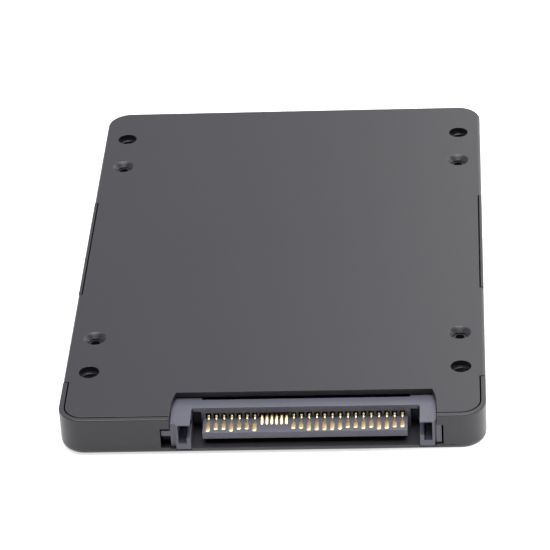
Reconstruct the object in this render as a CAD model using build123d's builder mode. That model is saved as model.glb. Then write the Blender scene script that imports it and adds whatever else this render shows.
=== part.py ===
from build123d import *
import os

# A 2.5-inch solid state drive that lies on its label side, with its connector end towards -Y.
# Millimetres, +Z up, +X to the right. The origin is the middle of the label side, on z = 0.
# The face with the four tapped mounting holes is the top, at z = case_height.

os.makedirs("parts", exist_ok=True)

# ---- case ----
case_width = 69.85
case_length = 100.2
case_height = 7.0
corner_radius = 4.2
bottom_edge_radius = 1.3
wall = 0.82
floor_thickness = 1.2
cover_thickness = 1.0
flange_depth = 1.4
cover_gap = 0.22
seam = 0.1
edge_round = 0.2
cover_edge_round = 0.5

side_face = case_width / 2
front = -case_length / 2
back = case_length / 2
cover_underside = case_height - cover_thickness
flange_bottom = case_height - flange_depth
inner_side = side_face - wall

# Where the base's own wall rises to the top: round both front corners, and one tab on each side.
corner_wall_end = -39.1
side_tab = (-12.2, 17.7)
tab_thickness = 0.5
snap_depth = 0.3
snap_height = 0.3
snap_inset = 9.0
snap_z = 6.1
rib_height = 0.8
rib_thickness = 0.6
side_ribs = ((-22.0, -15.0), (20.0, 27.0))
rear_rib = (12.0, 20.0)

# ---- holes ----
mount_x = 61.72 / 2
mount_rows = (front + 14.0, front + 90.6)
mount_clearance_radius = 1.7
mount_thread_radius = 1.5
mount_tap_depth = 3.5
mount_boss_radius = 2.8
side_hole_z = case_height - 3.0
side_hole_depth = 2.4
cover_screw_x = 30.75
cover_screw_rows = (-26.1, 30.5)
cover_screw_radius = 1.1
cover_screw_sink_radius = 1.9
standoff_radius = 1.7
standoff_shoulder_radius = 2.3
standoff_tap_radius = 0.8

# ---- circuit board ----
board_bottom = 2.4
board_thickness = 1.0
board_top = board_bottom + board_thickness
board_half_width = 33.5
board_front = front + 10.6
board_back = back - 1.6
board_corner_x = 27.6
board_corner_front = -32.8
board_corner_back = 37.2
board_post_radius = 2.0
board_screw_points = ((-30.75, 2.2), (30.75, 2.2), (0, 45.5))
board_screw_core_radius = 0.8
board_screw_length = 2.6
board_hole_clearance = 0.2
screw_head_radius = 1.8
screw_head_height = 1.1
screw_head_round = 0.3
cross_length = 1.8
cross_width = 0.4
cross_depth = 0.5

# ---- connector ----
connector_x = 5.35
guide_x = connector_x + 0.08
notch_left = -16.6
notch_right = 26.85
notch_back = front + 7.65
notch_straight = front + 3.1
notch_taper = 0.73
tongue_width = 33.43
tongue_top = 3.5
tongue_thickness = 1.23
tongue_front = front + 1.1
tongue_depth = 4.9
window_back = tongue_front + tongue_depth
window_top = 4.6
wall_face = front + 4.95
strip_top = 5.7
strip_back = front + 7.25
rear_top = 4.7
ear_top = 5.75
ear_front = front + 0.15
ear_inner = 18.65
ear_outer = 21.1
ear_slot = (19.35, 20.67)
ear_slot_z = (2.05, 5.55)
ear_slot_depth = 4.6
ear_step = 17.05
ear_foot_z = 0.9
ear_foot_depth = 1.2
flange_front = front + 0.6
flange_top = 5.75
left_flange_outer = connector_x - 21.88
right_flange_outer = connector_x + 21.4
housing_back = front + 10.5
pocket_left = -18.15
pocket_right = 27.9
pocket_z = (1.4, 5.1)
left_wing_y = (front + 0.5, wall_face)
left_wing_z = (3.4, 4.4)
left_web_front = front + 2.2
right_wing_y = (front + 0.3, wall_face)
right_wing_z = (1.55, 5.0)
right_slot = 0.3
short_leg_top = 3.1
side_opening_inner = 17.15
side_opening_top = 4.95
side_opening_depth = 1.9
tongue_chamfer = 0.2
window_half = 0.46
lock_offset = 19.5
lock_y = front + 12.9
lock_radius = 0.5
lock_tip = 0.4
arm_back = front + 14.3
arm_top = 5.2

# ---- contacts ----
contact_pitch = 1.27
fine_pitch = 0.8
contact_thickness = 0.15
contact_top = tongue_top + 0.05
pad_width = 0.84
neck_width = 0.5
fine_width = 0.45
pad_length = 2.9
tail_end = board_front + 2.0
long_tip = front + 1.2
middle_tip = front + 1.35
short_tip = front + 1.7
fine_tip = front + 3.2
signal_start = connector_x - 12.5 * contact_pitch
signal_tips = (long_tip, short_tip, short_tip, long_tip, short_tip, short_tip, long_tip)
power_start = signal_start + 11 * contact_pitch
power_tips = (
    short_tip, short_tip, long_tip, long_tip, long_tip, long_tip, middle_tip, short_tip,
    short_tip, middle_tip, short_tip, long_tip, middle_tip, short_tip, short_tip,
)
signal_row = [(signal_start + i * contact_pitch, tip) for i, tip in enumerate(signal_tips)]
power_row = [(power_start + i * contact_pitch, tip) for i, tip in enumerate(power_tips)]
fine_start = signal_row[-1][0] + (power_start - signal_row[-1][0] - 5 * fine_pitch) / 2
fine_row = [(fine_start + i * fine_pitch, fine_tip) for i in range(6)]
under_count = 38
under_row = [
    (connector_x + (i - (under_count - 1) / 2) * fine_pitch, fine_tip - 0.9)
    for i in range(under_count)
]
under_contact_bottom = board_bottom - contact_thickness

# ---- what is on the board: centre x and y, then size along x, y and z ----
flash_size = (18.0, 14.0, 1.0)
flash_centres = [(x, y) for x in (-13.5, 13.5) for y in (14.0, 33.0)]
controller_size = (17.0, 17.0, 1.2)
controller_centre = (3.0, -11.5)
memory_size = (9.0, 13.3, 1.1)
memory_centres = ((-15.0, -11.5), (21.0, -11.5))
hold_up_size = (7.3, 4.3, 1.9)
hold_up_centres = [(x, y) for y in (-33.1, -27.9) for x in (-20, -12, -4, 4, 12, 20)]
coil_size = (4.0, 4.0, 1.8)
coil_centres = ((-27.0, -17.5), (-27.0, -11.5), (-27.0, -5.5), (30.0, -11.5))
power_chip_size = (5.0, 5.0, 0.9)
power_chip_centre = (-21.5, 0.5)
regulator_size = (3.0, 3.0, 0.8)
regulator_centres = ((-4.5, 1.5), (0.5, 1.5), (28.5, -18.5))
boot_flash_size = (6.0, 5.0, 0.8)
boot_flash_centre = (-12.0, 1.0)
crystal_size = (3.2, 2.5, 0.8)
crystal_centre = (8.5, 1.5)
sensor_size = (2.0, 2.0, 0.6)
sensor_centre = (26.0, 2.0)
ceramic_size = (1.6, 0.8, 0.8)
ceramic_centres = [(x, y) for x in (-2.2, 2.2) for y in range(9, 40, 3)]
ceramic_centres += [(x, -22.4) for x in range(-6, 13, 2)]
resistor_size = (0.5, 1.0, 0.35)
resistor_centres = [(x, -36.2) for x in range(-8, 21, 2)]

pad_inset = 0.5
pad_corner = 0.5

# ---- label ----
label_width = 62.0
label_length = 92.0
label_corner = 2.0
label_recess = 0.15
label_thickness = 0.12


def save(part, name):
    part.label = name
    export_step(part, "parts/" + name + ".step")


def mirrored(x):
    return (-x, x)


def block(x_range, y_range, z_range, mode=Mode.ADD):
    """A box between two limits on each axis, in the builder that is open."""
    middle = [(low + high) / 2 for low, high in (x_range, y_range, z_range)]
    size = [high - low for low, high in (x_range, y_range, z_range)]
    with Locations(tuple(middle)):
        Box(*size, mode=mode)


def side_block(side, inner, outer, y_range, z_range, mode=Mode.ADD):
    """A box on the left (-1) or right (+1), from inner to outer distance from the middle."""
    x_range = sorted((side * inner, side * outer))
    block(x_range, y_range, z_range, mode)


def guide_span(side, inner, outer):
    """The X limits of a piece of the left (-1) or right (+1) guide post."""
    return sorted((guide_x + side * inner, guide_x + side * outer))


def packages(centres, size, z, corner=0.0):
    """Flat rectangular packages of one size that stand on z, each a solid of its own."""
    with BuildPart() as made:
        with BuildSketch(Plane.XY.offset(z)):
            with Locations(*centres):
                if corner:
                    RectangleRounded(size[0], size[1], corner)
                else:
                    Rectangle(size[0], size[1])
        extrude(amount=size[2])
    return made


def case_outline(inset, mode=Mode.ADD):
    """The case's plan, moved in by inset, in the sketch that is open."""
    width = case_width - 2 * inset
    length = case_length - 2 * inset
    RectangleRounded(width, length, corner_radius - inset, mode=mode)


def plan(x_range, y_range, mode=Mode.ADD):
    """A rectangle between two limits on each axis, in the sketch that is open."""
    with Locations((sum(x_range) / 2, sum(y_range) / 2)):
        Rectangle(x_range[1] - x_range[0], y_range[1] - y_range[0], mode=mode)


def post(centre, radius, z_range):
    """A round post between two heights, in the builder that is open."""
    with Locations((centre[0], centre[1], sum(z_range) / 2)):
        Cylinder(radius, z_range[1] - z_range[0])


def contacts_plan(row, width, neck):
    """The outlines of a row of contacts: a pad with a round tip, then a neck and a tail."""
    for x, tip in row:
        with Locations((x, tip + width / 2)):
            Circle(width / 2)
        plan((x - width / 2, x + width / 2), (tip + width / 2, tip + pad_length))
        plan((x - neck / 2, x + neck / 2), (tip + pad_length - 0.1, tail_end))


mount_points = [(x, y) for x in mirrored(mount_x) for y in mount_rows]
cover_screw_points = [(x, y) for x in mirrored(cover_screw_x) for y in cover_screw_rows]
above_flange = (flange_bottom, case_height + 1)

# ---- base shell: the label side, with the walls, bosses and standoffs ----
with BuildPart() as base_shell:
    with BuildSketch():
        case_outline(0)
    extrude(amount=case_height)
    fillet(base_shell.faces().sort_by(Axis.Z)[0].edges(), bottom_edge_radius)
    fillet(base_shell.faces().sort_by(Axis.Z)[-1].edges(), edge_round)
    with BuildSketch(Plane.XY.offset(floor_thickness)):
        case_outline(wall)
    extrude(amount=case_height, mode=Mode.SUBTRACT)
    # The wall is lower wherever the cover's flange is the outside.
    for wall_run in ((corner_wall_end, side_tab[0]), (side_tab[1], back + 1)):
        block((-side_face - 1, side_face + 1), wall_run, above_flange, Mode.SUBTRACT)
    # The thin side tabs, each with a snap ridge that holds the cover down.
    ridge = (side_tab[0] + snap_inset, side_tab[1] - snap_inset)
    ridge_face = side_face - tab_thickness - snap_depth
    for side in (-1, 1):
        behind_tab = (cover_underside, case_height + 1)
        side_block(side, 0, side_face - tab_thickness, side_tab, behind_tab, Mode.SUBTRACT)
        ridge_z = (snap_z, snap_z + snap_height)
        side_block(side, ridge_face, side_face - edge_round, ridge, ridge_z)
    # Bosses for the mounting screws, each joined to the side wall.
    for x, y in mount_points:
        post((x, y), mount_boss_radius, (floor_thickness, cover_underside))
        web = (y - mount_boss_radius, y + mount_boss_radius)
        side = x / abs(x)
        side_block(side, mount_x, side_face - wall / 2, web, (floor_thickness, flange_bottom))
    # Standoffs for the cover screws: a shoulder under the board and a neck up through it.
    for point in cover_screw_points:
        post(point, standoff_shoulder_radius, (floor_thickness, board_bottom))
        post(point, standoff_radius, (floor_thickness, cover_underside))
    for point in board_screw_points:
        post(point, board_post_radius, (floor_thickness, board_bottom))
    # Tapped holes: the mounting ones at the thread's full size, the small ones at its core.
    with Locations(*[(x, y, cover_underside) for x, y in mount_points]):
        Hole(mount_thread_radius, mount_tap_depth)
    with Locations(*[(x, y, cover_underside) for x, y in cover_screw_points]):
        Hole(standoff_tap_radius, mount_tap_depth)
    with Locations(*[(x, y, board_bottom) for x, y in board_screw_points]):
        Hole(board_screw_core_radius, board_screw_length - board_thickness)
    for side in (-1, 1):
        outward = Plane(origin=(side * side_face, 0, side_hole_z), x_dir=(0, 1, 0), z_dir=(side, 0, 0))
        with BuildSketch(outward):
            with Locations(*[(y, 0) for y in mount_rows]):
                Circle(mount_thread_radius)
        extrude(amount=-side_hole_depth, mode=Mode.SUBTRACT)
    # The connector's opening in the front wall, with a lower pocket at each end.
    through_wall = (front - 1, front + wall + cover_gap)
    opening_z = (floor_thickness, case_height + 1)
    block((notch_left, notch_right), through_wall, opening_z, Mode.SUBTRACT)
    block((pocket_left, pocket_right), through_wall, pocket_z, Mode.SUBTRACT)
    # Two notches in the floor's front edge take the feet of the connector's guide posts.
    for side in (-1, 1):
        foot_x = guide_span(side, ear_inner - seam, ear_outer + seam)
        foot_y = (front - 1, ear_front + ear_foot_depth + seam)
        block(foot_x, foot_y, (ear_foot_z - seam, floor_thickness), Mode.SUBTRACT)
    with BuildSketch():
        RectangleRounded(label_width, label_length, label_corner)
    extrude(amount=label_recess, mode=Mode.SUBTRACT)
save(base_shell.part, "base_shell")

# ---- top cover: the plate with the mounting holes, and its flange ----
with BuildPart() as top_cover:
    with BuildSketch(Plane.XY.offset(flange_bottom)):
        case_outline(0)
    extrude(amount=flange_depth)
    fillet(top_cover.faces().sort_by(Axis.Z)[-1].edges(), cover_edge_round)
    with BuildSketch(Plane.XY.offset(flange_bottom)):
        case_outline(wall)
    extrude(amount=flange_depth - cover_thickness, mode=Mode.SUBTRACT)
    # The rim is cut back where the base's front wall and front corners stand.
    with BuildSketch(Plane.XY.offset(flange_bottom)):
        Rectangle(case_width + 2, case_length + 2)
        case_outline(wall + cover_gap, Mode.SUBTRACT)
        behind_corners = (corner_wall_end + cover_gap, case_length)
        plan((-case_width, case_width), behind_corners, Mode.SUBTRACT)
    extrude(amount=flange_depth, mode=Mode.SUBTRACT)
    recess = (side_tab[0] - cover_gap, side_tab[1] + cover_gap)
    recess_face = side_face - tab_thickness - cover_gap
    groove = (ridge[0] - seam, ridge[1] + seam)
    for side in (-1, 1):
        side_block(side, recess_face, side_face + 1, recess, above_flange, Mode.SUBTRACT)
        under_plate = (flange_bottom - 1, cover_underside)
        side_block(side, inner_side - seam, side_face + 1, recess, under_plate, Mode.SUBTRACT)
        groove_z = (snap_z - seam / 2, snap_z + snap_height + seam / 2)
        side_block(side, ridge_face - seam, side_face, groove, groove_z, Mode.SUBTRACT)
    # Ribs under the plate that locate it inside the base's walls.
    rib_z = (cover_underside - rib_height, cover_underside)
    for side in (-1, 1):
        rib_outer = inner_side - seam
        for rib in side_ribs:
            side_block(side, rib_outer - rib_thickness, rib_outer, rib, rib_z)
        rear_rib_face = back - wall - seam
        side_block(side, rear_rib[0], rear_rib[1], (rear_rib_face - rib_thickness, rear_rib_face), rib_z)
    # The notch over the connector: its sides curve in a little towards the back.
    with BuildSketch(Plane.XY.offset(flange_bottom)):
        with BuildLine():
            curved_sides = [
                TangentArc((x, notch_straight), (x + taper, notch_back), tangent=(0, 1))
                for x, taper in ((notch_left, notch_taper), (notch_right, -notch_taper))
            ]
            Line(curved_sides[0] @ 1, curved_sides[1] @ 1)
            mouth = [(notch_left, front - 1), (notch_right, front - 1)]
            Polyline(curved_sides[0] @ 0, *mouth, curved_sides[1] @ 0)
        make_face()
    extrude(amount=flange_depth, mode=Mode.SUBTRACT)
    with Locations(*[(x, y, case_height) for x, y in mount_points]):
        Hole(mount_clearance_radius)
    with Locations(*[(x, y, case_height) for x, y in cover_screw_points]):
        CounterSinkHole(cover_screw_radius, cover_screw_sink_radius, counter_sink_angle=90)
save(top_cover.part, "top_cover")

# ---- main circuit board ----
with BuildPart() as main_circuit_board:
    with BuildSketch(Plane.XY.offset(board_bottom)):
        plan((-board_half_width, board_half_width), (board_corner_front, board_corner_back))
        plan((-board_corner_x, board_corner_x), (board_front, board_back))
    extrude(amount=board_thickness)
    with Locations(*[(x, y, board_top) for x, y in cover_screw_points]):
        Hole(standoff_radius + board_hole_clearance)
    with Locations(*[(x, y, board_top) for x, y in board_screw_points]):
        Hole(board_screw_core_radius + board_hole_clearance)
    with Locations(*[(connector_x + x, lock_y, board_top) for x in mirrored(lock_offset)]):
        Hole(lock_radius + board_hole_clearance)
save(main_circuit_board.part, "main_circuit_board")

# ---- connector housing: the blade, the wall behind it and the guide posts ----
with BuildPart() as connector_housing:
    body_x = (guide_x - ear_outer, guide_x + ear_outer)
    block(body_x, (wall_face, strip_back), (floor_thickness, strip_top))
    block(body_x, (strip_back, housing_back), (floor_thickness, rear_top))
    tongue_x = (connector_x - tongue_width / 2, connector_x + tongue_width / 2)
    block(tongue_x, (tongue_front, wall_face), (tongue_top - tongue_thickness, tongue_top))
    tongue_tip = connector_housing.faces().filter_by(Axis.Y).sort_by(Axis.Y)[0]
    chamfer(tongue_tip.edges(), tongue_chamfer)
    for side in (-1, 1):
        post_x = guide_span(side, ear_inner, ear_outer)
        block(post_x, (ear_front, wall_face), (floor_thickness, ear_top))
        foot_y = (ear_front, ear_front + ear_foot_depth)
        block(post_x, foot_y, (ear_foot_z, floor_thickness))
        step_x = guide_span(side, ear_step, ear_outer)
        block(step_x, (wall_face, housing_back), (rear_top, ear_top))
        slot_x = guide_span(side, ear_slot[0], ear_slot[1])
        slot_y = (ear_front - 1, ear_front + ear_slot_depth)
        block(slot_x, slot_y, ear_slot_z, Mode.SUBTRACT)
        arm_x = guide_span(side, ear_inner - seam, ear_outer)
        block(arm_x, (housing_back - seam, arm_back), (board_top, arm_top))
    # The inner leg of each guide post is short, so its slot opens towards the blade. Behind it an
    # opening in the wall lets the mating plug's guide arm pass the end of the blade.
    for side in (-1, 1):
        short_leg_x = guide_span(side, ear_inner - seam, ear_slot[0] + seam)
        short_leg_z = (short_leg_top, ear_slot_z[1])
        short_leg_y = (ear_front - 1, ear_front + ear_slot_depth)
        block(short_leg_x, short_leg_y, short_leg_z, Mode.SUBTRACT)
        opening_x = guide_span(side, side_opening_inner, ear_inner)
        opening_y = (wall_face - 1, wall_face + side_opening_depth)
        block(opening_x, opening_y, (floor_thickness, side_opening_top), Mode.SUBTRACT)
    # Side flanges, and the wings that fill the pockets in the case's front wall.
    flange_y = (flange_front, housing_back)
    block((left_flange_outer, body_x[0]), flange_y, (floor_thickness, flange_top))
    block((body_x[1], right_flange_outer), flange_y, (floor_thickness, flange_top))
    left_wing_x = (pocket_left + seam, left_flange_outer)
    block(left_wing_x, left_wing_y, left_wing_z)
    block(left_wing_x, (left_web_front, wall_face), (floor_thickness, left_wing_z[0]))
    block((right_flange_outer, pocket_right - right_slot), right_wing_y, right_wing_z)
    # Windows in the wall, where the contacts come out onto the blade.
    window_y = (wall_face - 1, window_back)
    window_z = (tongue_top, window_top)
    for x, tip in signal_row + power_row:
        block((x - window_half, x + window_half), window_y, window_z, Mode.SUBTRACT)
    fine_x = (fine_row[0][0] - window_half, fine_row[-1][0] + window_half)
    block(fine_x, window_y, window_z, Mode.SUBTRACT)
    # Grooves that the contacts lie in.
    with BuildSketch(Plane.XY.offset(contact_top - contact_thickness)):
        contacts_plan(signal_row + power_row, pad_width, neck_width)
        contacts_plan(fine_row, fine_width, fine_width)
    extrude(amount=contact_thickness, mode=Mode.SUBTRACT)
    with BuildSketch(Plane.XY.offset(under_contact_bottom)):
        contacts_plan(under_row, fine_width, fine_width)
    extrude(amount=contact_thickness, mode=Mode.SUBTRACT)
    with Locations(*[(connector_x + x, lock_y, arm_top) for x in mirrored(lock_offset)]):
        Hole(lock_radius, arm_top - board_top)
save(connector_housing.part, "connector_housing")


def contact_row(row, width, neck, z):
    """A row of flat metal contacts, each a solid of its own."""
    with BuildPart() as made:
        with BuildSketch(Plane.XY.offset(z)):
            contacts_plan(row, width, neck)
        extrude(amount=contact_thickness)
    return made


upper_z = contact_top - contact_thickness
signal_contacts = contact_row(signal_row, pad_width, neck_width, upper_z)
save(signal_contacts.part, "signal_contacts")
power_contacts = contact_row(power_row, pad_width, neck_width, upper_z)
save(power_contacts.part, "power_contacts")
fine_contacts = contact_row(fine_row, fine_width, fine_width, upper_z)
save(fine_contacts.part, "fine_contacts")
underside_contacts = contact_row(under_row, fine_width, fine_width, under_contact_bottom)
save(underside_contacts.part, "underside_contacts")

with BuildPart() as connector_board_locks:
    for x in mirrored(lock_offset):
        post((connector_x + x, lock_y), lock_radius, (board_bottom - lock_tip, arm_top))
save(connector_board_locks.part, "connector_board_locks")

# ---- what is on the board ----
upper_flash_chips = packages(flash_centres, flash_size, board_top)
save(upper_flash_chips.part, "upper_flash_chips")
lower_flash_chips = packages(flash_centres, flash_size, board_bottom - flash_size[2])
save(lower_flash_chips.part, "lower_flash_chips")
controller_chip = packages([controller_centre], controller_size, board_top)
save(controller_chip.part, "controller_chip")
memory_chips = packages(memory_centres, memory_size, board_top)
save(memory_chips.part, "memory_chips")
hold_up_capacitors = packages(hold_up_centres, hold_up_size, board_top, 0.3)
save(hold_up_capacitors.part, "hold_up_capacitors")
power_coils = packages(coil_centres, coil_size, board_top, 0.6)
save(power_coils.part, "power_coils")
power_chip = packages([power_chip_centre], power_chip_size, board_top)
save(power_chip.part, "power_chip")
voltage_regulators = packages(regulator_centres, regulator_size, board_top)
save(voltage_regulators.part, "voltage_regulators")
boot_flash_chip = packages([boot_flash_centre], boot_flash_size, board_top)
save(boot_flash_chip.part, "boot_flash_chip")
clock_crystal = packages([crystal_centre], crystal_size, board_top, 0.3)
save(clock_crystal.part, "clock_crystal")
temperature_sensor = packages([sensor_centre], sensor_size, board_top)
save(temperature_sensor.part, "temperature_sensor")
ceramic_capacitors = packages(ceramic_centres, ceramic_size, board_top)
save(ceramic_capacitors.part, "ceramic_capacitors")
chip_resistors = packages(resistor_centres, resistor_size, board_top)
save(chip_resistors.part, "chip_resistors")


def pads_between(centres, chip, z_low, z_high):
    """Soft heat pads that fill the gap from a chip to a shell, a little smaller than the chip."""
    size = (chip[0] - 2 * pad_inset, chip[1] - 2 * pad_inset, z_high - z_low)
    return packages(centres, size, z_low, pad_corner)


controller_top = board_top + controller_size[2]
controller_heat_pad = pads_between(
    [controller_centre], controller_size, controller_top, cover_underside
)
save(controller_heat_pad.part, "controller_heat_pad")
memory_top = board_top + memory_size[2]
memory_heat_pads = pads_between(memory_centres, memory_size, memory_top, cover_underside)
save(memory_heat_pads.part, "memory_heat_pads")
flash_top = board_top + flash_size[2]
upper_flash_heat_pads = pads_between(flash_centres, flash_size, flash_top, cover_underside)
save(upper_flash_heat_pads.part, "upper_flash_heat_pads")
flash_underside = board_bottom - flash_size[2]
lower_flash_heat_pads = pads_between(flash_centres, flash_size, floor_thickness, flash_underside)
save(lower_flash_heat_pads.part, "lower_flash_heat_pads")

# ---- board screws: a pan head with a cross recess, and the thread at its core ----
with BuildPart() as board_screws:
    for point in board_screw_points:
        post(point, screw_head_radius, (board_top, board_top + screw_head_height))
    fillet(board_screws.faces().sort_by(Axis.Z)[-3:].edges(), screw_head_round)
    for point in board_screw_points:
        post(point, board_screw_core_radius, (board_top - board_screw_length, board_top))
    with BuildSketch(Plane.XY.offset(board_top + screw_head_height)):
        with Locations(*board_screw_points):
            Rectangle(cross_length, cross_width)
            Rectangle(cross_width, cross_length)
    extrude(amount=-cross_depth, mode=Mode.SUBTRACT)
save(board_screws.part, "board_screws")

# ---- blank label in the base's recess ----
with BuildPart() as blank_label:
    with BuildSketch(Plane.XY.offset(label_recess - label_thickness)):
        RectangleRounded(label_width - 1, label_length - 1, label_corner)
    extrude(amount=label_thickness)
save(blank_label.part, "blank_label")
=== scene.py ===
import math
from itertools import product

import bmesh
import bpy
from mathutils import Matrix, Vector


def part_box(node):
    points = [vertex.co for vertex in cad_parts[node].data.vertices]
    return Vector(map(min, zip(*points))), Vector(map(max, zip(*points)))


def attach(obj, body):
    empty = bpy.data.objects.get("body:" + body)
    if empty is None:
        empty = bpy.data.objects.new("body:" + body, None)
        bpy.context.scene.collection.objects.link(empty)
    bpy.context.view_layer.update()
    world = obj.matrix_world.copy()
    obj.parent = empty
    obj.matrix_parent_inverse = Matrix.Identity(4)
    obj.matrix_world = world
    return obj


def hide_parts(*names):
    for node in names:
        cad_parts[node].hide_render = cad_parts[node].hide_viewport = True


# A 2.5-inch solid state drive on its label side, with the connector end towards the camera.
# Shapes are worked out in millimetres and scaled to metres when they become pieces.

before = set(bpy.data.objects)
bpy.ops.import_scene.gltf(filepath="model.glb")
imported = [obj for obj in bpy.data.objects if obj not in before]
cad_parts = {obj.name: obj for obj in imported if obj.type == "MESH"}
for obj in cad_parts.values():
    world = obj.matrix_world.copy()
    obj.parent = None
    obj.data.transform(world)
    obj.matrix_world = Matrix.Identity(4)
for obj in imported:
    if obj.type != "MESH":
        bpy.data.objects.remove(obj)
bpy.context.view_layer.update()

MM = 0.001
UP = Vector((0, 0, 1))


def box_mm(node):
    """The lowest and highest corner of a CAD node, in millimetres."""
    low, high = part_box(node)
    return low / MM, high / MM


case_low, cover_high = box_mm("base_shell")[0], box_mm("top_cover")[1]
front = case_low.y
case_top = cover_high.z

# ---- connector, measured from the case's front face and from the blade's middle ----
connector_x = 5.35
guide_x = connector_x + 0.08
blade_half_width = 16.72
blade_top = 3.5
blade_bottom = 2.27
blade_front = front + 1.1
floor_top = 1.2
wall_face = front + 4.95
window_back = blade_front + 4.9
window_top = 4.6
window_half = 0.46
strip_top = 5.75
strip_back = front + 7.25
rear_top = 4.7
housing_back = front + 10.5
guide_top = 5.75
guide_front = front + 0.15
guide_inner = 18.65
guide_outer = 21.1
guide_step = 17.05
guide_foot = 0.9
guide_foot_depth = 1.2
guide_slot = (19.35, 20.67)
guide_slot_z = (2.05, 5.55)
guide_slot_depth = 4.2
guide_slot_slant = 0.35
short_leg_top = 3.1
opening_inner = 17.15
opening_top = 4.95
opening_depth = 1.9
flange_front = front + 0.6
flange_top = 5.75
left_flange_outer = connector_x - 21.88
right_flange_outer = connector_x + 21.4
left_wing = ((-18.05, left_flange_outer), (front + 0.5, wall_face), (3.4, 4.4))
left_web = ((-18.05, left_flange_outer), (front + 2.2, wall_face), (floor_top, 3.4))
right_wing = ((right_flange_outer, 27.6), (front + 0.3, wall_face), (1.55, 5.0))
arm_back = front + 14.3
arm_top = 5.2
board_top = 3.4
board_bottom = 2.4

# ---- contacts ----
pitch = 1.27
fine_pitch = 0.8
contact_top = blade_top + 0.05
contact_thickness = 0.15
pad_half = 0.52
neck_half = 0.17
root_half = 0.25
fine_half = 0.27
long_tip, middle_tip, short_tip = 1.2, 1.35, 1.7
fine_tip = 3.2
signal_start = connector_x - 12.5 * pitch
power_start = signal_start + 11 * pitch
signal_tips = (long_tip, short_tip, short_tip, long_tip, short_tip, short_tip, long_tip)
power_tips = (
    short_tip, short_tip, long_tip, long_tip, long_tip, long_tip, middle_tip, short_tip,
    short_tip, middle_tip, short_tip, long_tip, middle_tip, short_tip, short_tip,
)
signal_row = [(signal_start + i * pitch, front + tip) for i, tip in enumerate(signal_tips)]
power_row = [(power_start + i * pitch, front + tip) for i, tip in enumerate(power_tips)]
fine_start = (signal_row[-1][0] + power_start - 5 * fine_pitch) / 2
fine_row = [(fine_start + i * fine_pitch, front + fine_tip) for i in range(6)]
under_count = 38
under_row = [
    (connector_x + (i - (under_count - 1) / 2) * fine_pitch, front + fine_tip - 0.9)
    for i in range(under_count)
]


# ---- materials ----
def add_node(tree, kind, settings=None, **inputs):
    """A shader node with its settings, and each input set to a value or linked to a socket."""
    node = tree.nodes.new(kind)
    for key, value in (settings or {}).items():
        setattr(node, key, value)
    for key, value in inputs.items():
        socket = node.inputs[key.replace("_", " ")]
        if isinstance(value, bpy.types.NodeSocket):
            tree.links.new(value, socket)
        else:
            socket.default_value = value
    return node


def principled(name, **values):
    """A new material, its node tree and its Principled shader with the given socket values."""
    material = bpy.data.materials.new(name)
    material.use_nodes = True
    tree = material.node_tree
    shader = tree.nodes["Principled BSDF"]
    for key, value in values.items():
        shader.inputs[key.replace("_", " ")].default_value = value
    return material, tree, shader


def noise(tree, size, detail=2.0, roughness=0.5):
    """Noise whose blotches are about size millimetres, fixed to the object."""
    place = add_node(tree, "ShaderNodeTexCoord").outputs["Object"]
    made = add_node(
        tree, "ShaderNodeTexNoise", Vector=place, Scale=1 / (size * MM), Detail=detail,
        Roughness=roughness,
    )
    return made.outputs["Fac"]


def ramp(tree, factor, stops):
    """A colour ramp through (position, colour) stops."""
    made = add_node(tree, "ShaderNodeValToRGB", Fac=factor)
    elements = made.color_ramp.elements
    while len(elements) < len(stops):
        elements.new(0.5)
    for element, (position, colour) in zip(elements, stops):
        element.position = position
        element.color = (*colour, 1)
    return made.outputs["Color"]


def span(tree, factor, low, high, from_low=0.3, from_high=0.7):
    """A factor mapped to a range of values."""
    made = add_node(
        tree, "ShaderNodeMapRange", Value=factor, From_Min=from_low, From_Max=from_high,
        To_Min=low, To_Max=high,
    )
    return made.outputs["Result"]


def relief(tree, height, depth):
    """A bump of the given depth in millimetres."""
    made = add_node(tree, "ShaderNodeBump", Height=height, Strength=1.0, Distance=depth * MM)
    return made.outputs["Normal"]


def grained(name, dark, light, roughness, grain, depth, cloud=8.0, **shader_values):
    """A surface with a fine grain in colour and relief, and slow clouds in its roughness."""
    material, tree, shader = principled(name, **shader_values)
    fine = noise(tree, grain, 3.0, 0.6)
    slow = noise(tree, cloud, 2.0)
    colour = ramp(tree, fine, ((0.3, dark), (0.7, light)))
    tree.links.new(colour, shader.inputs["Base Color"])
    tree.links.new(span(tree, slow, *roughness), shader.inputs["Roughness"])
    tree.links.new(relief(tree, fine, depth), shader.inputs["Normal"])
    return material


def circuit_board_material():
    """Solder mask over fine copper runs: the runs show as slightly raised, lighter lines."""
    material, tree, shader = principled("circuit_board", IOR=1.5, Coat_Weight=0.3)
    place = add_node(tree, "ShaderNodeTexCoord").outputs["Object"]
    runs = add_node(
        tree, "ShaderNodeTexBrick", Vector=place, Scale=1 / (2.4 * MM), Mortar_Size=0.06,
        Color1=(0.004, 0.028, 0.016, 1), Color2=(0.003, 0.022, 0.013, 1), Mortar=(0.008, 0.05, 0.028, 1),
    )
    tree.links.new(runs.outputs["Color"], shader.inputs["Base Color"])
    tree.links.new(relief(tree, runs.outputs["Fac"], 0.02), shader.inputs["Normal"])
    tree.links.new(span(tree, noise(tree, 5.0), 0.28, 0.4), shader.inputs["Roughness"])
    return material


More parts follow.
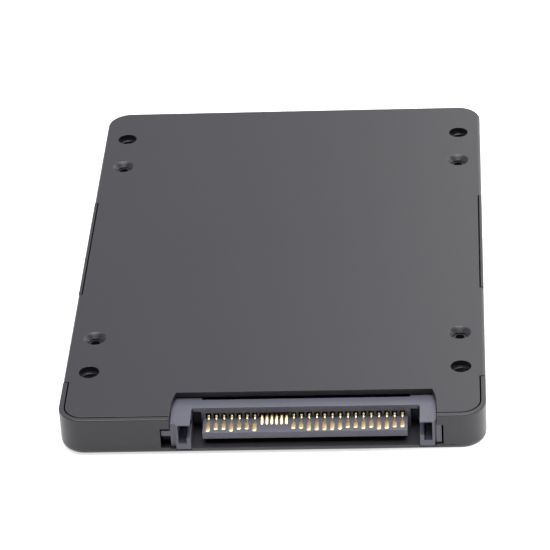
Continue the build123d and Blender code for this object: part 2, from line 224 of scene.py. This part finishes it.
paint = grained(
    "case_paint", (0.0150, 0.0146, 0.0172), (0.0205, 0.0200, 0.0235), (0.345, 0.365), 0.16, 0.002,
    cloud=30.0, IOR=1.46,
)
plastic = grained(
    "connector_plastic", (0.058, 0.059, 0.076), (0.081, 0.082, 0.104), (0.32, 0.38), 0.14, 0.005, IOR=1.5
)
gold = grained(
    "gold_contacts", (0.86, 0.66, 0.32), (0.96, 0.80, 0.44), (0.32, 0.38), 0.12, 0.0008, 1.2, Metallic=1.0
)
board = circuit_board_material()
substrate = grained("chip_substrate", (0.012, 0.05, 0.028), (0.018, 0.066, 0.036), (0.35, 0.45), 0.1, 0.002)
resin = grained("chip_resin", (0.012, 0.012, 0.013), (0.022, 0.022, 0.024), (0.45, 0.6), 0.06, 0.003)
tantalum = grained("capacitor_resin", (0.02, 0.018, 0.016), (0.035, 0.03, 0.027), (0.4, 0.5), 0.08, 0.003)
polarity = grained("polarity_bar", (0.42, 0.40, 0.34), (0.5, 0.48, 0.42), (0.5, 0.6), 0.1, 0.001)
ferrite = grained("coil_ferrite", (0.05, 0.05, 0.053), (0.09, 0.09, 0.095), (0.5, 0.7), 0.07, 0.006)
ceramic = grained("ceramic_body", (0.33, 0.23, 0.14), (0.42, 0.30, 0.19), (0.4, 0.5), 0.09, 0.002)
resistor = grained("resistor_body", (0.015, 0.016, 0.018), (0.03, 0.03, 0.033), (0.25, 0.4), 0.1, 0.001)
tin = grained(
    "tinned_metal", (0.62, 0.62, 0.61), (0.78, 0.78, 0.77), (0.25, 0.42), 0.15, 0.002, 1.5, Metallic=1.0
)
heat_pad = grained("heat_pad", (0.22, 0.27, 0.33), (0.30, 0.36, 0.43), (0.6, 0.75), 0.12, 0.012)
steel = grained(
    "screw_steel", (0.42, 0.42, 0.44), (0.58, 0.58, 0.60), (0.26, 0.4), 0.1, 0.002, 1.0, Metallic=1.0
)
label = grained("label_film", (0.50, 0.51, 0.53), (0.56, 0.57, 0.59), (0.42, 0.55), 0.25, 0.004, IOR=1.45)


# ---- mesh code ----
def finish_piece(bm, name, materials, node=None, smooth=38):
    """Turns a bmesh in millimetres into a piece that rides on the root body."""
    bmesh.ops.recalc_face_normals(bm, faces=bm.faces)
    bmesh.ops.scale(bm, vec=(MM, MM, MM), verts=bm.verts)
    mesh = bpy.data.meshes.new(name)
    bm.to_mesh(mesh)
    bm.free()
    for material in materials:
        mesh.materials.append(material)
    mesh.polygons.foreach_set("use_smooth", [True] * len(mesh.polygons))
    mesh.set_sharp_from_angle(angle=math.radians(smooth))
    piece = bpy.data.objects.new(name, mesh)
    bpy.context.scene.collection.objects.link(piece)
    flat_faces = piece.modifiers.new("flat_faces", "WEIGHTED_NORMAL")
    flat_faces.keep_sharp = True
    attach(piece, "root")
    if node:
        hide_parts(node)


def sharp_edges(bm, angle=30):
    """The edges where two faces meet at more than the angle."""
    limit = math.radians(angle)
    return [e for e in bm.edges if len(e.link_faces) == 2 and e.calc_face_angle() > limit]


def round_edges(bm, edges, radius, segments=2):
    """Rounds edges without sliding past their neighbours."""
    bmesh.ops.bevel(
        bm, geom=edges, offset=radius, offset_type="OFFSET", segments=segments, profile=0.5,
        affect="EDGES", clamp_overlap=False, loop_slide=True,
    )


def carved(steps):
    """A closed mesh of boxes that are added (True) or cut (False) in order, as one solid."""
    walls = [sorted({limit for step in steps for limit in step[axis + 1]}) for axis in range(3)]
    filled = set()
    for add, *limits in steps:
        runs = []
        for places, (low, high) in zip(walls, limits):
            runs.append(range(places.index(low), places.index(high)))
        cells = set(product(*runs))
        filled = filled | cells if add else filled - cells
    bm = bmesh.new()
    corners = {}

    def corner(index):
        if index not in corners:
            corners[index] = bm.verts.new([walls[axis][index[axis]] for axis in range(3)])
        return corners[index]

    for cell in sorted(filled):
        for axis, side in product(range(3), (0, 1)):
            beside = list(cell)
            beside[axis] += 1 if side else -1
            if tuple(beside) in filled:
                continue
            first, second = [a for a in range(3) if a != axis]
            loop = []
            for a, b in ((0, 0), (1, 0), (1, 1), (0, 1)):
                index = list(cell)
                index[axis] += side
                index[first] += a
                index[second] += b
                loop.append(corner(tuple(index)))
            bm.faces.new(loop)
    bmesh.ops.recalc_face_normals(bm, faces=bm.faces)
    bmesh.ops.dissolve_limit(
        bm, angle_limit=math.radians(1), verts=bm.verts, edges=bm.edges, delimit=set()
    )
    return bm


def refined(node, name, materials, edge):
    """A CAD node's own shape with flat faces made whole and the sharp edges of its outer skin rounded."""
    on_skin = 0.01
    low, high = box_mm(node)
    bm = bmesh.new()
    bm.from_mesh(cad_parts[node].data)
    bmesh.ops.scale(bm, vec=(1 / MM, 1 / MM, 1 / MM), verts=bm.verts)
    bmesh.ops.remove_doubles(bm, verts=bm.verts, dist=0.002)
    bmesh.ops.dissolve_limit(
        bm, angle_limit=math.radians(0.5), verts=bm.verts, edges=bm.edges, delimit=set()
    )
    for face in bm.faces:
        face.material_index = 0
    outer_edges = []
    for e in sharp_edges(bm, 40):
        if all(min(*(v.co - low), *(high - v.co)) < on_skin for v in e.verts):
            outer_edges.append(e)
    round_edges(bm, outer_edges, edge)
    finish_piece(bm, name, materials, node)


def rounded_box(bm, centre, size, radius, material=0):
    """A box with rounded edges, standing on centre's height."""
    middle = Vector(centre) + UP * size[2] / 2
    matrix = Matrix.Translation(middle) @ Matrix.Diagonal((*size, 1))
    made = bmesh.ops.create_cube(bm, size=1, matrix=matrix)["verts"]
    edges = list(dict.fromkeys(e for v in made for e in v.link_edges))
    for face in dict.fromkeys(f for v in made for f in v.link_faces):
        face.material_index = material
    bevel = bmesh.ops.bevel(
        bm, geom=edges, offset=radius, offset_type="OFFSET", segments=2, profile=0.5,
        affect="EDGES", clamp_overlap=True,
    )
    for face in bevel["faces"]:
        face.material_index = material


def skin(bm, rings, material=0):
    """A closed skin over rings that have the same number of points."""
    loops = [[bm.verts.new(point) for point in ring] for ring in rings]
    count = len(loops[0])
    for lower, upper in zip(loops, loops[1:]):
        for i in range(count):
            j = (i + 1) % count
            face = bm.faces.new((lower[i], lower[j], upper[j], upper[i]))
            face.material_index = material
    for loop in (loops[0], loops[-1]):
        bm.faces.new(loop).material_index = material


def turned(centre, radius, height, steps):
    """A level ring of points. The radius is a number or a function of the angle."""
    ring = []
    for i in range(steps):
        a = 2 * math.pi * i / steps
        r = radius(a) if callable(radius) else radius
        ring.append((centre[0] + r * math.cos(a), centre[1] + r * math.sin(a), height))
    return ring


def lathe(bm, centre, profile, steps, material=0):
    """A turned shape from (radius, height) points, closed at both ends."""
    skin(bm, [turned(centre, radius, height, steps) for radius, height in profile], material)


def thread(bm, frame_matrix, root, crest, pitch_mm, length):
    """A helical ridge between two radii, along the local Z axis from 0 down to -length."""
    steps, crest_half, thinnest = 28, 0.03, 0.02
    count = int(length / pitch_mm * steps)
    half = pitch_mm * 0.42
    rings = []
    for i in range(count + 1):
        a = 2 * math.pi * i / steps
        z = -half - (length - 2 * half) * i / count
        fade = min(1.0, i / (steps / 4), (count - i) / (steps / 4))
        top = root + (crest - root) * max(fade, thinnest)
        section = ((root, z + half), (top, z + crest_half), (top, z - crest_half), (root, z - half))
        rings.append([frame_matrix @ Vector((r * math.cos(a), r * math.sin(a), h)) for r, h in section])
    skin(bm, rings)


# ---- the two shells ----
refined("base_shell", "base_shell_painted", [paint], 0.045)
refined("top_cover", "top_cover_painted", [paint], 0.07)


def mounting_threads():
    """M3 threads inside the bosses under the cover and in the side holes."""
    bm = bmesh.new()
    hole_spacing, rows = 61.72, (front + 14.0, front + 90.6)
    root, crest, pitch_mm = 1.53, 1.24, 0.5
    boss_start, boss_depth = case_top - 1.05, 3.4
    side_start, side_z, side_depth = cover_high.x - 0.1, case_top - 3.0, 2.3
    for side, y in product((-1, 1), rows):
        down = Matrix.Translation((side * hole_spacing / 2, y, boss_start))
        thread(bm, down, root, crest, pitch_mm, boss_depth)
        inward = Matrix.Translation((side * side_start, y, side_z))
        inward @= Matrix.Rotation(side * math.pi / 2, 4, "Y")
        thread(bm, inward, root, crest, pitch_mm, side_depth)
    finish_piece(bm, "mounting_threads", [paint], smooth=60)


mounting_threads()


# ---- connector ----
def guide_span(side, inner, outer):
    """The X limits of a part of the left (-1) or right (+1) guide post."""
    return tuple(sorted((guide_x + side * inner, guide_x + side * outer)))


def connector_housing():
    """The blade, the wall with its windows, the slotted guide posts, flanges and wings."""
    near, inner_radius, edge_radius = 0.01, 0.45, 0.06
    body_x = (guide_x - guide_outer, guide_x + guide_outer)
    blade_x = (connector_x - blade_half_width, connector_x + blade_half_width)
    steps = [
        (True, body_x, (wall_face, strip_back), (floor_top, strip_top)),
        (True, body_x, (strip_back, housing_back), (floor_top, rear_top)),
        (True, blade_x, (blade_front, wall_face), (blade_bottom, blade_top)),
    ]
    ahead = guide_front - 0.5
    for side in (-1, 1):
        post = guide_span(side, guide_inner, guide_outer)
        steps.append((True, post, (guide_front, wall_face), (floor_top, guide_top)))
        foot_back = guide_front + guide_foot_depth
        steps.append((True, post, (guide_front, foot_back), (guide_foot, floor_top)))
        step_x = guide_span(side, guide_step, guide_outer)
        steps.append((True, step_x, (wall_face, housing_back), (rear_top, guide_top)))
        slot_x = guide_span(side, *guide_slot)
        slot_y = (ahead, guide_front + guide_slot_depth)
        steps.append((False, slot_x, slot_y, guide_slot_z))
        short_leg = guide_span(side, guide_inner, guide_slot[0])
        steps.append((False, short_leg, slot_y, (short_leg_top, guide_slot_z[1])))
        opening_x = guide_span(side, opening_inner, guide_inner)
        opening_y = (wall_face, wall_face + opening_depth)
        steps.append((False, opening_x, opening_y, (floor_top, opening_top)))
        arm = guide_span(side, guide_inner, guide_outer)
        steps.append((True, arm, (housing_back, arm_back), (board_top, arm_top)))
    flange_y = (flange_front, housing_back)
    steps.append((True, (left_flange_outer, body_x[0]), flange_y, (floor_top, flange_top)))
    steps.append((True, (body_x[1], right_flange_outer), flange_y, (floor_top, flange_top)))
    steps.append((True, *left_wing))
    steps.append((True, *left_web))
    steps.append((True, *right_wing))
    windows = [(x - window_half, x + window_half) for x, tip in signal_row + power_row]
    windows.append((fine_row[0][0] - window_half, fine_row[-1][0] + window_half))
    for window in windows:
        steps.append((False, window, (wall_face, window_back), (blade_top, window_top)))
    bm = carved(steps)
    slot_high = guide_span(-1, *guide_slot)[1]
    for vert in bm.verts:
        on_wall = abs(vert.co.x - slot_high) < near and vert.co.y < wall_face
        if on_wall and abs(vert.co.z - guide_slot_z[1]) < near:
            vert.co.x += guide_slot_slant
    inner_corners = []
    for edge in bm.edges:
        a, b = (v.co for v in edge.verts)
        upright = abs(a.x - b.x) < near and abs(a.y - b.y) < near
        inner = abs(abs(a.x - guide_x) - guide_inner) < near and abs(a.y - wall_face) < near
        if upright and inner and min(a.z, b.z) > opening_top - near:
            inner_corners.append(edge)
    round_edges(bm, inner_corners, inner_radius, 4)
    round_edges(bm, sharp_edges(bm), edge_radius)
    finish_piece(bm, "connector_body", [plastic], "connector_housing", 30)


connector_housing()


def ribbon(bm, x, stations, facing=1):
    """A crowned metal strip through (y, z, half width) stations. facing -1 turns it underside out."""
    crown = 0.26
    across = (-1.0, -0.92, -0.75, -0.5, -0.25, 0.0, 0.25, 0.5, 0.75, 0.92, 1.0)
    rings = []
    for y, z, half in stations:
        outer = [(x + f * half, y, z - facing * crown * half * abs(f) ** 3) for f in across]
        below = z - facing * contact_thickness
        rings.append(outer + [(x + half, y, below), (x - half, y, below)])
    skin(bm, rings)


def round_tip(y, z, half, drop):
    """Stations that round a strip's front end in plan and in height."""
    steps = 5
    stations = []
    for i in range(steps):
        turn = math.pi / 2 * (i + 0.6) / steps
        forward = half * (1 - math.cos(turn))
        stations.append((y + forward, z - drop * math.cos(turn) ** 2, half * math.sin(turn)))
    return stations


def pad_contacts(row, name, node):
    """Contacts with a wide pad, a narrow neck and a root that climbs into its window."""
    bm = bmesh.new()
    for x, tip in row:
        stations = round_tip(tip, contact_top, pad_half, 0.12)
        stations += [
            (tip + 0.45, contact_top, pad_half),
            (front + 3.3, contact_top, pad_half),
            (front + 3.55, contact_top, pad_half * 0.94),
            (front + 3.8, contact_top - 0.01, pad_half * 0.76),
            (front + 4.0, contact_top - 0.02, pad_half * 0.52),
            (front + 4.2, contact_top - 0.02, neck_half),
            (front + 4.7, contact_top - 0.02, neck_half * 0.8),
            (front + 4.82, contact_top + 0.02, neck_half * 0.8),
            (front + 4.96, contact_top + 0.16, neck_half * 0.95),
            (front + 5.1, contact_top + 0.33, root_half * 0.85),
            (front + 5.24, contact_top + 0.48, root_half),
            (front + 5.36, contact_top + 0.54, root_half * 0.9),
            (window_back + 0.4, contact_top + 0.55, root_half * 0.7),
        ]
        ribbon(bm, x, stations)
        rounded_box(bm, (x, housing_back + 1.0, board_top), (0.5, 1.9, 0.14), 0.04)
    finish_piece(bm, name, [gold], node, 50)


def fine_contacts():
    """The six fine contacts, which rise a little towards the wall."""
    bm = bmesh.new()
    for x, tip in fine_row:
        stations = round_tip(tip, contact_top, fine_half, 0.05)
        stations += [
            (tip + 0.3, contact_top + 0.02, fine_half),
            (tip + 1.2, contact_top + 0.22, fine_half),
            (tip + 1.9, contact_top + 0.48, fine_half * 0.94),
            (window_back + 0.4, contact_top + 0.78, fine_half * 0.85),
        ]
        ribbon(bm, x, stations)
        rounded_box(bm, (x, housing_back + 1.0, board_top), (0.35, 1.9, 0.14), 0.04)
    finish_piece(bm, "fine_contact_strips", [gold], "fine_contacts", 50)


def underside_contacts():
    """The straight contacts on the blade's underside, with their tails under the board."""
    bm = bmesh.new()
    low = board_bottom - contact_thickness
    for x, tip in under_row:
        stations = [(y, 2 * low - z, half) for y, z, half in round_tip(tip, low, fine_half, 0.05)]
        stations += [(tip + 0.3, low, fine_half), (housing_back + 1.5, low, fine_half)]
        ribbon(bm, x, stations, facing=-1)
    finish_piece(bm, "underside_contact_strips", [gold], "underside_contacts", 50)


pad_contacts(signal_row, "signal_contact_strips", "signal_contacts")
pad_contacts(power_row, "power_contact_strips", "power_contacts")
fine_contacts()
underside_contacts()


# ---- parts on the board ----
def solid_boxes(node):
    """The lowest and highest corner of each separate solid of a CAD node, in millimetres."""
    bm = bmesh.new()
    bm.from_mesh(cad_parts[node].data)
    bmesh.ops.remove_doubles(bm, verts=bm.verts, dist=1e-6)
    waiting = set(bm.verts)
    boxes = []
    while waiting:
        reached = [waiting.pop()]
        for vert in reached:
            for edge in vert.link_edges:
                other = edge.other_vert(vert)
                if other in waiting:
                    waiting.remove(other)
                    reached.append(other)
        places = [v.co / MM for v in reached]
        low = Vector([min(p[axis] for p in places) for axis in range(3)])
        high = Vector([max(p[axis] for p in places) for axis in range(3)])
        boxes.append((low, high))
    bm.free()
    return sorted(boxes, key=lambda box: tuple(round(c, 3) for c in box[0]))


def slab(bm, x_range, y_range, z_range, radius, material=0):
    """A box between limits, with rounded edges."""
    limits = (x_range, y_range, z_range)
    centre = [sum(pair) / 2 for pair in limits[:2]] + [min(z_range)]
    rounded_box(bm, centre, [abs(b - a) for a, b in limits], radius, material)


def chips(node, name):
    """Flat packages: a thin substrate, a moulded cap and a round pin-one mark."""
    base_height, inset, mark_height = 0.22, 0.08, 0.012
    bm = bmesh.new()
    for low, high in solid_boxes(node):
        if low.z > board_bottom:
            start, end, way = low.z, high.z, 1
        else:
            start, end, way = high.z, low.z, -1
        level = start + way * base_height
        slab(bm, (low.x, high.x), (low.y, high.y), (start, level), 0.03, 1)
        top = end - way * mark_height
        cap_x, cap_y = (low.x + inset, high.x - inset), (low.y + inset, high.y - inset)
        slab(bm, cap_x, cap_y, (level, top), 0.05)
        radius = min(high.x - low.x, high.y - low.y) * 0.035
        spot = (low.x + inset + radius * 3, low.y + inset + radius * 3)
        heights = sorted((top - way * 0.05, end))
        lathe(bm, spot, [(radius, height) for height in heights], 20, 2)
    finish_piece(bm, name, [resin, substrate, polarity], node)


def end_capped(node, name, body, share, radius):
    """Two-terminal parts: a body between two tinned ends."""
    bm = bmesh.new()
    for low, high in solid_boxes(node):
        size = high - low
        long_axis = 0 if size.x > size.y else 1
        cap = size[long_axis] * share
        for end in (0, 1):
            limits = [[low[axis], high[axis]] for axis in range(3)]
            if end:
                limits[long_axis][0] = high[long_axis] - cap
            else:
                limits[long_axis][1] = low[long_axis] + cap
            slab(bm, *limits, radius, 1)
        limits = [[low[axis] + 0.02, high[axis] - 0.02] for axis in range(3)]
        limits[long_axis] = [low[long_axis] + cap * 0.5, high[long_axis] - cap * 0.5]
        limits[2][0] = low.z
        slab(bm, *limits, radius)
    finish_piece(bm, name, [body, tin], node)


def hold_up_capacitors():
    """Moulded capacitors with folded tin tabs at both ends and a light polarity bar on top."""
    bm = bmesh.new()
    for low, high in solid_boxes("hold_up_capacitors"):
        size = high - low
        long_axis = 0 if size.x > size.y else 1
        limits = [[low[axis], high[axis]] for axis in range(3)]
        limits[long_axis] = [low[long_axis] + 0.1, high[long_axis] - 0.1]
        limits[2] = [low.z + 0.06, high.z - 0.01]
        slab(bm, *limits, 0.12)
        across = 1 - long_axis
        for end in (0, 1):
            tab = [[low[axis], high[axis]] for axis in range(3)]
            tab[across] = [low[across] + size[across] * 0.22, high[across] - size[across] * 0.22]
            tab[2] = [low.z, low.z + size.z * 0.55]
            foot = [list(pair) for pair in tab]
            foot[across] = [tab[across][0] + 0.05, tab[across][1] - 0.05]
            foot[2] = [low.z + 0.01, low.z + 0.12]
            if end:
                tab[long_axis][0] = high[long_axis] - 0.14
                foot[long_axis] = [high[long_axis] - 1.3, high[long_axis] - 0.07]
            else:
                tab[long_axis][1] = low[long_axis] + 0.14
                foot[long_axis] = [low[long_axis] + 0.07, low[long_axis] + 1.3]
            slab(bm, *tab, 0.03, 1)
            slab(bm, *foot, 0.03, 1)
        bar = [[low[axis] + 0.12, high[axis] - 0.12] for axis in range(3)]
        bar[long_axis] = [low[long_axis] + 0.55, low[long_axis] + 1.5]
        bar[2] = [high.z - 0.06, high.z]
        slab(bm, *bar, 0.02, 2)
    finish_piece(bm, "hold_up_capacitor_cases", [tantalum, tin, polarity], "hold_up_capacitors")


def power_coils():
    """Shielded coils: a ferrite block with chamfered corners and two tinned feet."""
    bm = bmesh.new()
    for low, high in solid_boxes("power_coils"):
        slab(bm, (low.x, high.x), (low.y, high.y), (low.z + 0.1, high.z), 0.3)
        foot = (high.x - low.x) * 0.28
        for foot_x in ((low.x + 0.05, low.x + foot), (high.x - foot, high.x - 0.05)):
            slab(bm, foot_x, (low.y + 0.4, high.y - 0.4), (low.z, low.z + 0.35), 0.04, 1)
    finish_piece(bm, "power_coil_blocks", [ferrite, tin], "power_coils")


def crystal():
    """A ceramic tray with a metal lid."""
    bm = bmesh.new()
    for low, high in solid_boxes("clock_crystal"):
        slab(bm, (low.x, high.x), (low.y, high.y), (low.z, low.z + 0.5), 0.05, 1)
        slab(bm, (low.x + 0.12, high.x - 0.12), (low.y + 0.12, high.y - 0.12), (low.z + 0.5, high.z), 0.08)
    finish_piece(bm, "clock_crystal_can", [tin, ceramic], "clock_crystal")


def board_screws():
    """Pan-head screws with a six-lobed recess and a thread below the head."""
    head_height, core, crest, screw_pitch, steps = 1.1, 0.66, 0.8, 0.4, 48
    recess_radius, lobe = 0.72, 0.12
    bm = bmesh.new()
    for low, high in solid_boxes("board_screws"):
        middle = (low + high) / 2
        radius = (high.x - low.x) / 2
        seat = high.z - head_height
        profile = [
            (core - 0.2, low.z), (core, low.z + 0.25), (core, seat), (radius - 0.05, seat),
            (radius, seat + 0.06), (radius, seat + 0.62), (radius - 0.12, high.z - 0.2),
            (radius - 0.4, high.z - 0.03), (radius - 0.6, high.z),
        ]
        rings = [turned(middle, r, z, steps) for r, z in profile]
        for widen, z in ((0.04, high.z), (0.0, high.z - 0.05), (-0.02, high.z - 0.7)):
            base = recess_radius + widen
            rings.append(turned(middle, lambda a: base + lobe * math.cos(6 * a), z, steps))
        skin(bm, rings)
        place = Matrix.Translation((middle.x, middle.y, seat - 0.05))
        thread(bm, place, core - 0.02, crest, screw_pitch, seat - low.z - 0.35)
    finish_piece(bm, "board_screw_bodies", [steel], "board_screws", smooth=40)


chip_nodes = (
    "upper_flash_chips", "lower_flash_chips", "controller_chip", "memory_chips", "power_chip",
    "voltage_regulators", "boot_flash_chip", "temperature_sensor",
)
for node in chip_nodes:
    chips(node, node + "_packages")
end_capped("ceramic_capacitors", "ceramic_capacitor_blocks", ceramic, 0.22, 0.05)
end_capped("chip_resistors", "chip_resistor_blocks", resistor, 0.18, 0.03)
hold_up_capacitors()
power_coils()
crystal()
board_screws()

# ---- materials for the CAD nodes that stay ----
node_materials = {
    "main_circuit_board": board,
    "connector_board_locks": plastic,
    "controller_heat_pad": heat_pad,
    "memory_heat_pads": heat_pad,
    "upper_flash_heat_pads": heat_pad,
    "lower_flash_heat_pads": heat_pad,
    "blank_label": label,
}
soft_edge = 0.03
for node, material in node_materials.items():
    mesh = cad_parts[node].data
    mesh.materials.clear()
    mesh.materials.append(material)
    soft_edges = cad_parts[node].modifiers.new("soft_edges", "BEVEL")
    soft_edges.width = soft_edge * MM
    soft_edges.segments = 2
    soft_edges.limit_method = "ANGLE"
    soft_edges.angle_limit = math.radians(40)


# ---- floor, light and camera ----
def white_floor():
    """A pale table, a little brighter on the right, just under the drive. The brightness is painted light:
    the table glows, more strongly towards the right, in place of a lamp on the right.
    """
    bm = bmesh.new()
    below = Matrix.Translation((0, 0, -0.00002))
    bmesh.ops.create_grid(bm, x_segments=4, y_segments=4, size=4, matrix=below)
    mesh = bpy.data.meshes.new("floor")
    bm.to_mesh(mesh)
    bm.free()
    material, tree, shader = principled("floor_white", Roughness=0.9)
    shader.inputs["Emission Color"].default_value = (1, 1, 1, 1)
    place = add_node(tree, "ShaderNodeTexCoord").outputs["Object"]
    across = add_node(tree, "ShaderNodeSeparateXYZ", Vector=place).outputs["X"]
    # Painted light: the floor's emission strength rises across X, so the table glows brighter towards the
    # right.
    painted_glow = span(tree, across, 0.68, 2.1, 0.015, 0.085)
    tree.links.new(painted_glow, shader.inputs["Emission Strength"])
    cloud = noise(tree, 60.0)
    colour = ramp(tree, cloud, ((0.3, (0.50, 0.50, 0.50)), (0.7, (0.52, 0.52, 0.52))))
    tree.links.new(colour, shader.inputs["Base Color"])
    mesh.materials.append(material)
    floor = bpy.data.objects.new("floor", mesh)
    bpy.context.scene.collection.objects.link(floor)


def soft_sky():
    """A soft dome: bright behind, brighter still overhead, and darker on the side of the camera."""
    world = bpy.data.worlds.new("soft_sky")
    bpy.context.scene.world = world
    world.use_nodes = True
    tree = world.node_tree
    direction = add_node(tree, "ShaderNodeTexCoord").outputs["Generated"]
    parts = add_node(tree, "ShaderNodeSeparateXYZ", Vector=direction)
    base = span(tree, parts.outputs["Y"], 0.10, 0.74, -0.35, 0.15)
    overhead = span(tree, parts.outputs["Z"], 0.0, 8.4, 0.84, 0.96)
    side = span(tree, parts.outputs["X"], 0.92, 1.08, -0.6, 0.6)
    both = add_node(tree, "ShaderNodeMath", {"operation": "ADD"})
    tree.links.new(base, both.inputs[0])
    tree.links.new(overhead, both.inputs[1])
    level = add_node(tree, "ShaderNodeMath", {"operation": "MULTIPLY"})
    tree.links.new(both.outputs[0], level.inputs[0])
    tree.links.new(side, level.inputs[1])
    tree.links.new(level.outputs[0], tree.nodes["Background"].inputs["Strength"])
    tree.nodes["Background"].inputs["Color"].default_value = (0.99, 0.985, 1.02, 1)


def back_panel():
    """A large soft panel behind the drive and to its right."""
    data = bpy.data.lights.new("back_panel", "AREA")
    data.shape = "RECTANGLE"
    data.size, data.size_y = 0.62, 0.42
    data.energy = 1.35
    made = bpy.data.objects.new("back_panel", data)
    place = Vector((0.29, 0.42, 0.32))
    made.matrix_world = Matrix.Translation(place) @ place.to_track_quat("Z", "Y").to_matrix().to_4x4()
    bpy.context.scene.collection.objects.link(made)


def camera():
    """A long lens that looks down on the connector end."""
    azimuth, elevation, roll = 4.352, 32.68, -3.399
    aim = Vector((-1.862, 2.276, 0.82)) * MM
    distance = 0.550193
    turn = Matrix.Rotation(math.radians(azimuth), 4, "Z")
    turn @= Matrix.Rotation(math.radians(90 - elevation), 4, "X")
    turn @= Matrix.Rotation(math.radians(roll), 4, "Z")
    data = bpy.data.cameras.new("camera")
    data.lens = 203.4
    data.sensor_width = 36
    data.clip_end = 20
    made = bpy.data.objects.new("camera", data)
    made.matrix_world = Matrix.Translation(aim + turn.to_3x3() @ UP * distance) @ turn
    bpy.context.scene.collection.objects.link(made)
    bpy.context.scene.camera = made


white_floor()
soft_sky()
back_panel()
camera()
bpy.context.scene.view_settings.view_transform = "Standard"
